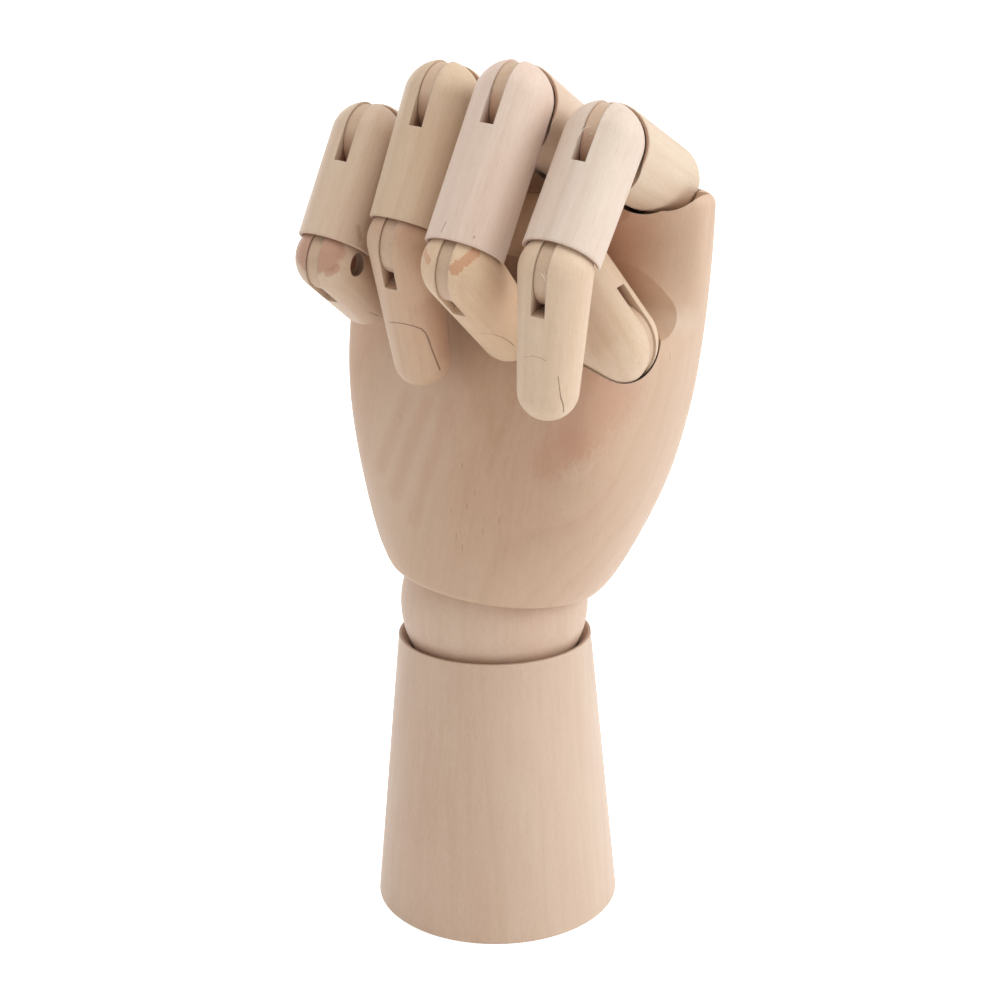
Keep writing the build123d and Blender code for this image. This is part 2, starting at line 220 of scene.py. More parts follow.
class Wiring:
    """Adds nodes to one tree and joins them. Values are sockets or plain numbers."""

    def __init__(self, tree):
        self.tree = tree

    def node(self, kind, **settings):
        made = self.tree.nodes.new(kind)
        for key, value in settings.items():
            setattr(made, key, value)
        return made

    def feed(self, socket, value):
        if isinstance(value, bpy.types.NodeSocket):
            self.tree.links.new(value, socket)
        else:
            socket.default_value = value

    def feed_all(self, node, given):
        """Feed a node's inputs by name."""
        for name, value in given.items():
            self.feed(node.inputs[name], value)

    def math(self, operation, *values):
        made = self.node("ShaderNodeMath", operation=operation)
        for socket, value in zip(made.inputs, values):
            self.feed(socket, value)
        return made.outputs[0]

    def vector(self, operation, *values):
        made = self.node("ShaderNodeVectorMath", operation=operation)
        for socket, value in zip(made.inputs, values):
            self.feed(socket, value)
        return made.outputs["Value" if operation in ("DOT_PRODUCT", "LENGTH") else "Vector"]

    def eased(self, value, low, high):
        """0 below low, 1 above high and a smooth step between."""
        made = self.node("ShaderNodeMapRange", interpolation_type="SMOOTHSTEP")
        self.feed_all(made, {"Value": value, "From Min": low, "From Max": high})
        return made.outputs["Result"]

    def noise(self, vector, stretch, detail=2.0):
        """Noise from 0 to 1 whose grains are 1/stretch millimetres along each axis."""
        made = self.node("ShaderNodeTexNoise")
        stretched = self.vector("MULTIPLY", vector, stretch)
        self.feed_all(made, {"Vector": stretched, "Scale": 1, "Detail": detail})
        return made.outputs[0]

    def mix(self, factor, first, second):
        made = self.node("ShaderNodeMix", data_type="RGBA")
        for socket, value in ((made.inputs[0], factor), (made.inputs[6], first), (made.inputs[7], second)):
            self.feed(socket, (*value, 1) if isinstance(value, tuple) and len(value) == 3 else value)
        return made.outputs[2]

    def group(self, name, **given):
        made = self.node("ShaderNodeGroup", node_tree=bpy.data.node_groups[name])
        for key, value in given.items():
            socket = made.inputs[key.replace("_", " ")]
            is_colour = socket.type == "RGBA" and not isinstance(value, bpy.types.NodeSocket)
            self.feed(socket, (*value[:3], 1) if is_colour else value)
        return made.outputs


KINDS = {"float": "NodeSocketFloat", "vector": "NodeSocketVector", "colour": "NodeSocketColor"}


def new_group(name, inputs, outputs):
    """Empty node group with named sockets: its wiring, input sockets and output sockets."""
    tree = bpy.data.node_groups.new(name, "ShaderNodeTree")
    for direction, sockets in (("INPUT", inputs), ("OUTPUT", outputs)):
        for socket, kind in sockets.items():
            tree.interface.new_socket(socket, in_out=direction, socket_type=KINDS[kind])
    wiring = Wiring(tree)
    return wiring, wiring.node("NodeGroupInput").outputs, wiring.node("NodeGroupOutput").inputs


def make_grain_group():
    """Growth rings round a leaning pith, streaks, fibres and pores along z, all in millimetres."""
    w, given, out = new_group(
        "Fine grain",
        {
            "Vector": "vector", "Pale": "colour", "Pink": "colour", "Dark": "colour",
            "Pith": "vector", "Lean": "vector", "Spacing": "float", "Seed": "float",
            "Rings": "float", "Streaks": "float", "Pores": "float",
        },
        {"Colour": "colour", "Height": "float", "Roughness": "float"},
    )
    shifted = w.vector("ADD", given["Vector"], w.vector("MULTIPLY", given["Seed"], (13.7, 7.9, 31.3)))
    along = w.node("ShaderNodeSeparateXYZ")
    w.feed(along.inputs[0], given["Vector"])
    pith = w.vector("ADD", given["Pith"], w.vector("MULTIPLY", given["Lean"], along.outputs["Z"]))
    outward = w.vector("MULTIPLY", w.vector("SUBTRACT", given["Vector"], pith), (1, 1, 0))
    warp = w.math("MULTIPLY_ADD", w.noise(shifted, (0.06, 0.06, 0.016)), 5.0, w.vector("LENGTH", outward))
    turn = w.math("DIVIDE", warp, given["Spacing"])
    phase = w.math("FRACT", turn)
    early = w.math("SUBTRACT", 1.0, w.eased(phase, 0.84, 1.0))
    late = w.math("MULTIPLY", w.math("POWER", phase, 2.2), early)
    own = w.node("ShaderNodeTexWhiteNoise", noise_dimensions="1D")
    w.feed(own.inputs["W"], w.math("ADD", w.math("FLOOR", turn), given["Seed"]))
    ring = w.math("MULTIPLY", late, w.math("MULTIPLY_ADD", own.outputs["Value"], 0.7, 0.3))
    streak = w.noise(shifted, (0.75, 0.75, 0.014), 3.0)
    fibre = w.noise(shifted, (5.0, 5.0, 0.16))
    blotch = w.noise(shifted, (0.07, 0.07, 0.03))
    mottle = w.noise(shifted, (2.0, 2.0, 1.1))
    pore = w.eased(w.noise(shifted, (4.2, 4.2, 0.34), 1.0), 0.62, 0.76)
    hue = w.eased(w.noise(shifted, (0.11, 0.11, 0.045)), 0.35, 0.65)
    shade = w.math("MULTIPLY_ADD", ring, given["Rings"], 0.3)
    layers = ((streak, given["Streaks"]), (fibre, 0.34), (mottle, 0.24), (blotch, given["Streaks"]))
    for layer, strength in layers:
        shade = w.math("MULTIPLY_ADD", w.math("SUBTRACT", layer, 0.5), strength, shade)
    shade = w.math("MULTIPLY_ADD", pore, given["Pores"], shade)
    shade = w.math("MAXIMUM", w.math("MINIMUM", shade, 1.0), 0.0)
    w.feed(out["Colour"], w.mix(shade, w.mix(hue, given["Pale"], given["Pink"]), given["Dark"]))
    w.feed(out["Height"], w.math("SUBTRACT", w.math("MULTIPLY_ADD", streak, 0.5, fibre), pore))
    w.feed(out["Roughness"], w.math("MULTIPLY_ADD", shade, 0.2, 0.46))


def make_patch_group():
    """Mask of a ragged ellipsoid: the distance from its centre in its own radii, broken up by noise."""
    w, given, out = new_group(
        "Patch",
        {"Vector": "vector", "Centre": "vector", "Radii": "vector", "Ragged": "float", "Soft": "float"},
        {"Mask": "float"},
    )
    away = w.vector("DIVIDE", w.vector("SUBTRACT", given["Vector"], given["Centre"]), given["Radii"])
    rough = w.math("SUBTRACT", w.noise(given["Vector"], (0.5, 0.5, 0.18), 3.0), 0.5)
    reach = w.math("MULTIPLY_ADD", rough, given["Ragged"], w.vector("LENGTH", away))
    outside = w.eased(reach, w.math("SUBTRACT", 1.0, given["Soft"]), w.math("ADD", 1.0, given["Soft"]))
    w.feed(out["Mask"], w.math("SUBTRACT", 1.0, outside))


def make_stroke_group():
    """Mask of a rough stroke: the distance from the line between two points, in its half width."""
    w, given, out = new_group(
        "Stroke",
        {
            "Vector": "vector", "Start": "vector", "End": "vector",
            "Half": "float", "Ragged": "float", "Soft": "float",
        },
        {"Mask": "float"},
    )
    run = w.vector("SUBTRACT", given["End"], given["Start"])
    here = w.vector("SUBTRACT", given["Vector"], given["Start"])
    share = w.math("DIVIDE", w.vector("DOT_PRODUCT", here, run), w.vector("DOT_PRODUCT", run, run))
    share = w.math("MAXIMUM", w.math("MINIMUM", share, 1.0), 0.0)
    away = w.vector("LENGTH", w.vector("SUBTRACT", here, w.vector("MULTIPLY", run, share)))
    rough = w.math("SUBTRACT", w.noise(given["Vector"], (1.6, 1.6, 0.9), 3.0), 0.5)
    reach = w.math("MULTIPLY_ADD", rough, given["Ragged"], w.math("DIVIDE", away, given["Half"]))
    outside = w.eased(reach, w.math("SUBTRACT", 1.0, given["Soft"]), w.math("ADD", 1.0, given["Soft"]))
    w.feed(out["Mask"], w.math("SUBTRACT", 1.0, outside))


def make_slot_group():
    """Mask of the sawn walls between two planes square to x, growing with the depth under the dome or dowel
    as painted shade.
    """
    w, given, out = new_group(
        "Slot", {"Vector": "vector", "Half": "float", "Radius": "float"}, {"Mask": "float"}
    )
    axes = w.node("ShaderNodeSeparateXYZ")
    w.feed(axes.inputs[0], given["Vector"])
    within = w.math("LESS_THAN", w.math("ABSOLUTE", axes.outputs["X"]), given["Half"])
    within = w.math("MULTIPLY", within, w.math("LESS_THAN", axes.outputs["Z"], given["Radius"]))
    core = w.vector("MAXIMUM", w.vector("MULTIPLY", given["Vector"], (0, 0, 1)), (0, 0, 0))
    reach = w.vector("LENGTH", w.vector("SUBTRACT", given["Vector"], core))
    deep = w.eased(w.math("SUBTRACT", given["Radius"], reach), *SLOT_SHADE_DEPTHS)
    w.feed(out["Mask"], w.math("MULTIPLY", within, deep))


def make_edge_group():
    """Rounded normal, and mask of sharp edges from the turn between the bevelled and the plain normal."""
    w, given, out = new_group("Worn edge", {"Radius": "float"}, {"Mask": "float", "Normal": "vector"})
    bevel = w.node("ShaderNodeBevel", samples=6)
    w.feed(bevel.inputs["Radius"], given["Radius"])
    plain = w.node("ShaderNodeNewGeometry").outputs["Normal"]
    agree = w.vector("DOT_PRODUCT", bevel.outputs["Normal"], plain)
    w.feed(out["Mask"], w.eased(w.math("SUBTRACT", 1.0, agree), 0.02, 0.25))
    w.feed(out["Normal"], bevel.outputs["Normal"])


def make_end_grain_group():
    """Mask of faces square to the grain, from the normal and the grain's direction, with open pores."""
    w, given, out = new_group(
        "End grain",
        {"Vector": "vector", "Normal": "vector", "Grain": "vector", "From": "float", "To": "float"},
        {"Mask": "float", "Pores": "float"},
    )
    facing = w.vector("DOT_PRODUCT", given["Normal"], given["Grain"])
    mask = w.eased(facing, given["From"], given["To"])
    pores = w.eased(w.noise(given["Vector"], (3.2, 3.2, 3.2)), 0.58, 0.68)
    w.feed(out["Mask"], mask)
    w.feed(out["Pores"], w.math("MULTIPLY", mask, pores))


def toned(colour, red, green, blue):
    """A wood's colour with each part turned up or down."""
    return tuple(np.array(colour) * (red, green, blue))


def set_material(node, material):
    mesh = nodes[node].data
    mesh.materials.clear()
    mesh.materials.append(material)


def new_material(name):
    """A new material, its wiring and its shader."""
    material = bpy.data.materials.new(name)
    material.use_nodes = True
    return material, Wiring(material.node_tree), material.node_tree.nodes["Principled BSDF"]


def wood_material(name, place, colour, seed, pith, lean, marks, ends, rings):
    """Sanded wood whose grain runs along z of the given place. Marks are laid on in order."""
    grain = bpy.context.scene.wooden_hand.grain
    woods = bpy.context.scene.wooden_hand.woods
    material, w, shader = new_material(f"{name}_wood")
    coordinates = w.node("ShaderNodeTexCoord").outputs
    own = w.node("ShaderNodeMapping", vector_type="TEXTURE")
    w.feed_all(
        own,
        {
            "Vector": coordinates["Object"], "Location": place.translation,
            "Rotation": place.to_euler(), "Scale": (MM, MM, MM),
        },
    )
    here = own.outputs["Vector"]
    fine = w.group(
        "Fine grain", Vector=here, Pale=colour, Pink=toned(colour, *PINK_TONE),
        Dark=toned(colour, *LATE_TONE), Pith=pith, Lean=lean, Seed=seed, Spacing=grain.ring_spacing / MM,
        Rings=grain.ring_strength * rings, Streaks=grain.streak_strength, Pores=grain.pore_strength,
    )
    tone = fine["Colour"]
    for lay in marks:
        tone = lay(w, here, tone)
    if ends:
        strength, low, high = ends
        cut = w.group(
            "End grain", Vector=here, Normal=coordinates["Normal"], Grain=place.col[2].to_3d(),
            From=low, To=high,
        )
        tone = w.mix(w.math("MULTIPLY", cut["Mask"], strength), tone, tuple(woods.rim))
        tone = w.mix(w.math("MULTIPLY", cut["Pores"], 0.5), tone, tuple(woods.crack))
    edge = w.group("Worn edge", Radius=grain.edge_rounding)
    # Sharp edges are laid paler: partly wear, partly a painted highlight where they catch the light
    tone = w.mix(w.math("MULTIPLY", edge["Mask"], grain.edge_wear_and_highlight), tone, tuple(woods.pale))
    bump = w.node("ShaderNodeBump")
    w.feed_all(
        bump,
        {"Strength": 0.5, "Distance": grain.bump_depth, "Height": fine["Height"], "Normal": edge["Normal"]},
    )
    w.feed_all(
        shader,
        {
            "Base Color": tone, "Roughness": fine["Roughness"], "Normal": bump.outputs["Normal"],
            "Specular IOR Level": 0.45, "Sheen Weight": 0.12, "Sheen Roughness": 0.5,
        },
    )
    return material


def wood(node, colour, seed, pith=(30.0, 40.0, 0.0), lean=(0.0, 0.0, 0.0), marks=(), ends=None, rings=1.0):
    """Sanded wood on one node, with the grain along the node's own z."""
    place = PLACES[node.removesuffix("_tongue")]
    set_material(node, wood_material(node, place, colour, seed, pith, lean, marks, ends, rings))


def mark(group, colour, strength, **given):
    """A mark for wood(): lays the colour on where the named group's mask is."""

    def lay(w, here, tone):
        mask = w.group(group, Vector=here, **given)["Mask"]
        return w.mix(w.math("MULTIPLY", mask, strength), tone, tuple(colour))

    return lay


def patch(colour, centre, radii, strength, ragged, soft):
    """A flush of colour with a soft edge, as a mark for wood()."""
    return mark("Patch", colour, strength, Centre=centre, Radii=radii, Ragged=ragged, Soft=soft)


def stroke(colour, start, end, half, strength, ragged=0.7, soft=0.25):
    """A stain, fleck or crack between two points, as a mark for wood()."""
    return mark("Stroke", colour, strength, Start=start, End=end, Half=half, Ragged=ragged, Soft=soft)


def hairline(colour, points, half, strength):
    """A line through points on the surface that widens from its first to its last, as a mark for wood()."""
    halves = np.linspace(0.6, 1.0, len(points) - 1) * half

    def lay(w, here, tone):
        mask = 0.0
        for start, end, width in zip(points, points[1:], halves.tolist()):
            run = w.group("Stroke", Vector=here, Start=start, End=end, Half=width, Ragged=0.3, Soft=0.45)
            mask = w.math("MAXIMUM", run["Mask"], mask)
        return w.mix(w.math("MULTIPLY", mask, strength), tone, tuple(colour))

    return lay


def sawn_slot_and_shade(node):
    """Sawn walls in a segment's hinge slot, browner and darker with depth as painted shade, as a mark for
    wood().
    """
    dome = -min((PLACES[node].inverted() @ Vector(point)).z for point in points_of(node)) / MM
    woods = bpy.context.scene.wooden_hand.woods
    return mark("Slot", woods.slot, SLOT_SHADE_STRENGTH, Half=SLOT_HALF, Radius=dome)


def grid_mesh(name, *grids):
    """Smooth mesh over grids of points that wrap round in their second parameter. Poles are closed."""
    points, quads, first = [], [], 0
    for grid in grids:
        rows, columns = grid.shape[:2]
        index = first + np.arange(rows * columns).reshape(rows, columns)
        right = np.roll(index, -1, axis=1)
        quads.append(np.stack((index[:-1], right[:-1], right[1:], index[1:]), axis=-1).reshape(-1, 4))
        points.append(grid.reshape(-1, 3))
        first += rows * columns
    mesh = bpy.data.meshes.new(name)
    mesh.from_pydata(np.concatenate(points).tolist(), [], np.concatenate(quads).tolist())
    closed = bmesh.new()
    closed.from_mesh(mesh)
    bmesh.ops.remove_doubles(closed, verts=closed.verts, dist=SAME_POINT)
    closed.to_mesh(mesh)
    closed.free()
    mesh.polygons.foreach_set("use_smooth", np.ones(len(mesh.polygons), bool))
    mesh.update()
    made = bpy.data.objects.new(name, mesh)
    bpy.context.scene.collection.objects.link(made)
    return made


def fibre_tube(place, start, bend, end, thickness):
    """Fibre on the curve (1-t)^2 start + 2t(1-t) bend + t^2 end, with the radius thickness sqrt(t(1-t))."""
    t = np.linspace(0, 1, 13)[:, None]
    start, bend, end = (np.array(place @ (Vector(point) * MM)) for point in (start, bend, end))
    spine = (1 - t) ** 2 * start + 2 * t * (1 - t) * bend + t**2 * end
    along = 2 * (1 - t) * (bend - start) + 2 * t * (end - bend)
    along /= np.linalg.norm(along, axis=1, keepdims=True)
    side = np.cross(along, np.cross(bend - start, end - start) + 1e-9)
    side /= np.linalg.norm(side, axis=1, keepdims=True)
    over = np.cross(along, side)
    radius = thickness * MM * np.sqrt(t * (1 - t))
    turn = np.linspace(0, 2 * np.pi, 8, endpoint=False)[None, :, None]
    round_it = np.cos(turn) * side[:, None, :] + np.sin(turn) * over[:, None, :]
    return spine[:, None, :] + radius[:, None, :] * round_it


def plain_floor(radius):
    """Floor swept round z: flat to 0.7 of its radius r, then rising to r/4 with the square of the rest."""
    share = np.linspace(0, 1, 40)[:, None]
    turn = np.linspace(0, -2 * np.pi, 96, endpoint=False)[None, :]
    reach = radius * share
    rise = 0.25 * radius * np.clip((share - 0.7) / 0.3, 0, 1) ** 2
    return np.stack((reach * np.cos(turn), reach * np.sin(turn), rise + 0 * turn), axis=-1)


class HANDWOOD_OT_groups(bpy.types.Operator):
    """Make the shader groups that all the woods share"""

    bl_idname = "handwood.groups"
    bl_label = "Shared wood effects"

    def execute(self, context):
        make_grain_group()
        make_patch_group()
        make_stroke_group()
        make_slot_group()
        make_edge_group()
        make_end_grain_group()
        return {"FINISHED"}


class HANDWOOD_OT_forearm(bpy.types.Operator):
    """Finish the turned stand, its plug and the wrist ball"""

    bl_idname = "handwood.forearm"
    bl_label = "Forearm and wrist ball"

    def execute(self, context):
        woods = context.scene.wooden_hand.woods
        # Painted light: the stand's right side, where the key lamp falls, is laid paler
        painted_lit_side = patch(woods.pale, (30, 0, 30), (16, 40, 70), 0.25, 0.2, 0.8)
        wood(
            "forearm_stand", woods.stand, 3.1, pith=(55, 30, 0), marks=(painted_lit_side,), ends=STAND_ENDS,
            rings=0.7,
        )
        wood("stand_plug", woods.stand, 8.2, pith=(30, 4, 0))
        wood("wrist_ball", woods.ball, 5.4, pith=(-40, 35, 0), rings=0.6)
        return {"FINISHED"}


# Short dark vessels in the palm, by their middles
PALM_FLECKS = (
    (-2.5, -18.8, 23.7), (0.6, -18.6, 25.3), (-0.5, -19.4, 19.1), (1.1, -19.6, 17.4), (4.7, -19.0, 21.5),
    (7.6, -18.6, 24.4), (1.7, -18.2, 28.4), (-1.9, -17.5, 32.7), (-17.3, -15.4, 38.4), (32.3, -8.2, 59.7),
)


def palm_marks(woods):
    """Painted light on the right side and bottom, a paler left front, reddish heartwood on the thumb's mound,
    the same red with painted shade in its recess, two pale spots, streaks and short vessels.
    """
    marks = [
        # Painted light: the right side and the bottom are laid paler where the light falls; the left front is
        # laid paler too
        patch(woods.palm_light, (38.0, 0.0, 50.0), (17.0, 40.0, 60.0), 0.45, 0.3, 0.8),
        patch(woods.palm_light, (0.0, -22.0, 4.0), (60.0, 30.0, 16.0), 0.25, 0.3, 0.7),
        patch(woods.palm_light, (-16.0, -15.0, 34.0), (11.0, 9.0, 22.0), 0.6, 0.4, 0.7),
        stroke(woods.palm_flush, (26.0, -19.5, 53.0), (20.5, -21.2, 45.5), 6.0, 0.5, 1.1, 0.6),
        stroke(woods.palm_flush, (21.0, -21.2, 43.5), (15.5, -20.0, 38.0), 3.2, 0.45, 1.3, 0.6),
        # Partly painted shade: the recess is laid redder where the fingers shade it, over its reddish
        # heartwood
        stroke(woods.palm_flush, (18.5, -7.5, 82.0), (16.5, -6.5, 70.0), 7.5, 0.6, 0.5, 0.7),
        patch(woods.pale, (27.7, -6.3, 65.5), (4.5, 3.0, 1.8), 0.2, 0.9, 0.5),
        patch(woods.pale, (33.0, -4.6, 65.7), (3.0, 3.0, 2.4), 0.18, 0.9, 0.5),
        stroke(woods.palm_flush, (-12.0, -16.2, 42.0), (-15.8, -16.9, 23.5), 1.6, 0.3, 0.8, 0.8),
        stroke(woods.palm_flush, (-7.0, -15.9, 43.0), (-10.5, -18.5, 19.5), 1.4, 0.25, 0.8, 0.8),
        stroke(woods.palm_flush, (-16.5, -15.2, 41.5), (-20.0, -15.0, 27.0), 1.5, 0.25, 0.8, 0.8),
        stroke(woods.crack, (18.4, -20.4, 47.5), (19.5, -20.6, 44.9), 0.14, 0.7),
    ]
    for x, y, z in PALM_FLECKS:
        marks.append(stroke(woods.crack, (x - 0.1, y, z + 0.6), (x + 0.1, y, z - 0.6), 0.11, 0.28))
    return marks


class HANDWOOD_OT_palm(bpy.types.Operator):
    """Finish the palm block with its reddish heartwood, painted light on its right side and painted shade in
    its recess
    """

    bl_idname = "handwood.palm"
    bl_label = "Palm"

    def execute(self, context):
        woods = context.scene.wooden_hand.woods
        wood("palm", woods.palm, 1.7, pith=(10, 75, 0), lean=(0, 0.12, 0), marks=palm_marks(woods), rings=1.3)
        return {"FINISHED"}


# Where growth rings meet the fingertips, and the index finger's crack, by points on the surface
INDEX_RING_LINE = ((-2.4, 5.1, 13.9), (-0.7, 5.61, 13.1), (0.94, 5.57, 13.1), (1.7, 5.38, 13.5))
INDEX_CRACK = (
    (3.6, 4.2, 16.3), (3.85, 3.88, 18.3), (4.02, 3.56, 20.1), (4.29, 3.07, 21.4), (4.17, 2.4, 23.1),
)
MIDDLE_RING_LINE = (
    (0.1, 5.95, 14.2), (1.6, 5.75, 13.9), (2.8, 5.24, 14.8), (3.67, 4.59, 17.1), (4.02, 4.17, 20.1),
    (4.05, 4.05, 22.1),
)
RING_RING_LINE = (
    (-2.0, 5.35, 14.3), (-0.8, 5.66, 13.8), (0.4, 5.68, 13.6), (1.3, 5.58, 13.6), (2.1, 5.3, 13.9),
    (2.71, 5.02, 14.1), (3.3, 4.62, 14.6), (3.8, 4.2, 15.1), (4.2, 3.75, 16.2), (4.4, 3.4, 18.0),
    (4.53, 3.08, 20.4), (4.71, 2.61, 23.0), (4.87, 2.08, 25.7),
)
LITTLE_RING_LINE = ((3.5, 4.3, 12.2), (3.9, 3.95, 13.6), (4.1, 3.7, 15.0), (4.23, 3.53, 16.1))


def fingertip_marks(woods):
    """Stains, ring lines and cracks of the segments that have them, and painted shade in the open pin hole,
    by node.
    """
    return {
        "middle_distal": (
            stroke(woods.stain, (2.2, 2.6, -5.3), (4.2, -1.0, -4.7), 0.95, 0.85, 1.4, 0.12),
            stroke(woods.stain, (-4.6, 0.4, -4.4), (-2.9, 2.2, -5.4), 0.65, 0.7, 1.3, 0.12),
            hairline(woods.crack, MIDDLE_RING_LINE, 0.12, 0.55),
        ),
        "ring_distal": (
            stroke(woods.blush, (4.9, 2.6, 11.0), (5.4, 0.4, 22.0), 2.2, 0.4, 0.6, 0.6),
            stroke(woods.blush, (4.0, 3.4, -3.3), (5.1, 3.4, 1.0), 2.2, 0.3, 0.6, 0.6),
            patch(woods.blush, (0.0, 1.0, -6.5), (7.0, 6.0, 3.6), 0.25, 0.6, 0.3),
            hairline(woods.crack, RING_RING_LINE, 0.16, 0.8),
        ),
        "index_distal": (
            hairline(woods.crack, INDEX_RING_LINE, 0.12, 0.35),
            hairline(woods.crack, INDEX_CRACK, 0.13, 0.8),
        ),
        "little_distal": (
            patch(woods.blush, (0.3, 0.6, -6.6), (7.4, 5.6, 3.7), 0.7, 0.55, 0.14),
            stroke(woods.blush, (3.0, 3.9, -3.6), (4.3, 2.6, -3.5), 0.7, 0.6, 1.2, 0.3),
            # Painted shade: the walls of the open pin hole are laid dark brown
            stroke(woods.crack, (3.5, 0.0, 0.0), (8.0, 0.0, 0.0), 2.12, 0.9, 0.0, 0.02),
            hairline(woods.crack, LITTLE_RING_LINE, 0.14, 0.5),
        ),
        "little_medial": (stroke(woods.rim, (5.6, 3.3, 16.6), (6.1, 2.3, 18.4), 0.45, 0.4, 0.8, 0.6),),
        "middle_medial": (
            stroke(woods.crack, (-1.7, 6.6, 25.9), (-1.4, 6.7, 24.2), 0.1, 0.5),
            stroke(woods.crack, (3.8, 5.7, 25.3), (3.8, 5.7, 25.5), 0.18, 0.4),
        ),
    }


# How much redder, greener and bluer single segments are than their finger
SEGMENT_TONES = {
    "index_proximal": (0.95, 0.94, 0.87),
    "index_medial": (1.02, 1.06, 1.11),
    "index_distal": (0.98, 0.93, 0.84),
    "middle_proximal": (0.95, 0.93, 0.85),
    "middle_medial": (1.02, 1.04, 1.05),
    "middle_distal": (1.0, 0.95, 0.78),
    "ring_medial": (1.02, 1.04, 1.04),
    "ring_distal": (0.95, 0.89, 0.86),
}


class HANDWOOD_OT_fingers(bpy.types.Operator):
    """Finish the segments of the four fingers"""

    bl_idname = "handwood.fingers"
    bl_label = "Fingers"

    def execute(self, context):
        woods = context.scene.wooden_hand.woods
        special = fingertip_marks(woods)
        for row, finger in enumerate(FINGERS):
            for step, segment in enumerate(SEGMENTS):
                node = f"{finger}_{segment}"
                colour = toned(getattr(woods, finger), *SEGMENT_TONES.get(node, (1, 1, 1)))
                wood(
                    node, colour, 2.3 * row + 0.7 * step, pith=(25 + 6 * step, 18 - 9 * row, 0),
                    marks=(*special.get(node, ()), sawn_slot_and_shade(node)),
                    ends=None if segment == "distal" else SEGMENT_ENDS,
                )
        return {"FINISHED"}


class HANDWOOD_OT_thumb(bpy.types.Operator):
    """Finish the two segments of the thumb"""

    bl_idname = "handwood.thumb"
    bl_label = "Thumb"

    def execute(self, context):
        woods = context.scene.wooden_hand.woods
        for node, tone, seed, pith, ends in (
            ("thumb_proximal", (1, 1, 1), 21.4, (-20, 25, 0), SEGMENT_ENDS),
            # The thumb's tip is laid darker as painted shade, for the dark gap inside the fist where it sits
            ("thumb_distal", (0.72, 0.62, 0.55), 22.9, (28, 8, 0), None),
        ):
            wood(node, toned(woods.thumb, *tone), seed, pith=pith, marks=(sawn_slot_and_shade(node),), ends=ends)
        return {"FINISHED"}


class HANDWOOD_OT_tongues(bpy.types.Operator):
    """Finish the thin tongues of all the hinges, with painted shade where the medial tongues run down into
    their slots
    """

    bl_idname = "handwood.tongues"
    bl_label = "Hinge tongues"

    def execute(self, context):
        woods = context.scene.wooden_hand.woods
        # Painted shade: the medial tongues are laid browner where they run down into their slots
        worn = stroke(woods.rim, (0, 5.6, 3.6), (0, 4.6, 5.4), 2.2, 0.55, 0.5, 0.7)
        for seed, node in enumerate(sorted(name for name in nodes if name.endswith("_tongue"))):
            marks = (worn,) if "_medial" in node else ()
            wood(node, woods.tongue, 40 + 1.3 * seed, pith=(3, 30, 0), marks=marks, ends=TONGUE_ENDS)
        return {"FINISHED"}


# Loose fibres at the sawn edges, by segment: start, bend, end and thickness in the segment's own millimetres
STRANDS = {
    "index_medial": (
        ((-1.3, 6.7, 4.2), (-0.9, 7.9, 1.0), (0.3, 6.8, 0.8), 0.15),
        ((0.1, 6.2, 2.2), (0.5, 7.1, 1.9), (1.0, 6.8, 1.6), 0.12),
    ),
    "index_distal": (
        ((1.3, 5.9, 0.2), (1.1, 7.2, -1.9), (0.1, 6.4, -1.5), 0.17),
        ((1.3, 5.9, -1.0), (1.2, 6.7, -1.3), (1.0, 6.5, -2.0), 0.12),
    ),
    "little_distal": (
        ((-1.3, 5.75, 4.6), (-1.5, 6.4, 4.8), (-1.7, 6.5, 5.4), 0.13),
        ((-1.3, 5.8, 3.9), (-1.35, 6.4, 4.1), (-1.5, 6.6, 4.7), 0.11),
    ),
}


class HANDWOOD_OT_fibres(bpy.types.Operator):
    """Add the loose fibres that stand up from the sawn slots"""

    bl_idname = "handwood.fibres"
    bl_label = "Loose fibres"

    def execute(self, context):
        woods = context.scene.wooden_hand.woods
        for seed, (node, strands) in enumerate(STRANDS.items()):
            place = PLACES[node]
            name = f"{node}_fibres"
            piece = grid_mesh(name, *(fibre_tube(place, *strand) for strand in strands))
            look = wood_material(
                name, place, woods.pale, 60 + seed, pith=(9, 9, 0), lean=(0, 0, 0), marks=(), ends=None,
                rings=0.3,
            )
            piece.data.materials.append(look)
            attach(piece, node)
        return {"FINISHED"}


def object_millimetres(w):
    """Object coordinates in millimetres."""
    return w.vector("DIVIDE", w.node("ShaderNodeTexCoord").outputs["Object"], (MM, MM, MM))


class HANDWOOD_OT_steel(bpy.types.Operator):
    """Finish the pins, the spring and the screw eye in drawn steel, and paint the pin in the open hole dark
    brown as painted shade
    """

    bl_idname = "handwood.steel"
    bl_label = "Steel"

    def execute(self, context):
        woods = context.scene.wooden_hand.woods
        material, w, shader = new_material("drawn_steel")
        drawn = w.noise(object_millimetres(w), (0.9, 0.9, 0.9), 4.0)
        tone = w.mix(drawn, tuple(woods.steel), toned(woods.steel, 0.6, 0.6, 0.6))
        rough = w.math("MULTIPLY_ADD", drawn, 0.3, 0.22)
        w.feed_all(shader, {"Base Color": tone, "Roughness": rough, "Metallic": 1})
        for node in nodes:
            if node.endswith("_pin") or node in ("wrist_spring", "wrist_screw_eye"):
                set_material(node, material)
        # Painted shade: the pin deep in the open hole is laid dark brown, mottled by noise
        pin_shade_material, w, shader = new_material("stained_pin")
        stain = w.noise(object_millimetres(w), (1.5, 1.5, 1.5))
        tone = w.mix(stain, tuple(woods.crack), tuple(woods.slot))
        w.feed_all(shader, {"Base Color": tone, "Roughness": 0.7})
        set_material("little_distal_pin", pin_shade_material)
        return {"FINISHED"}


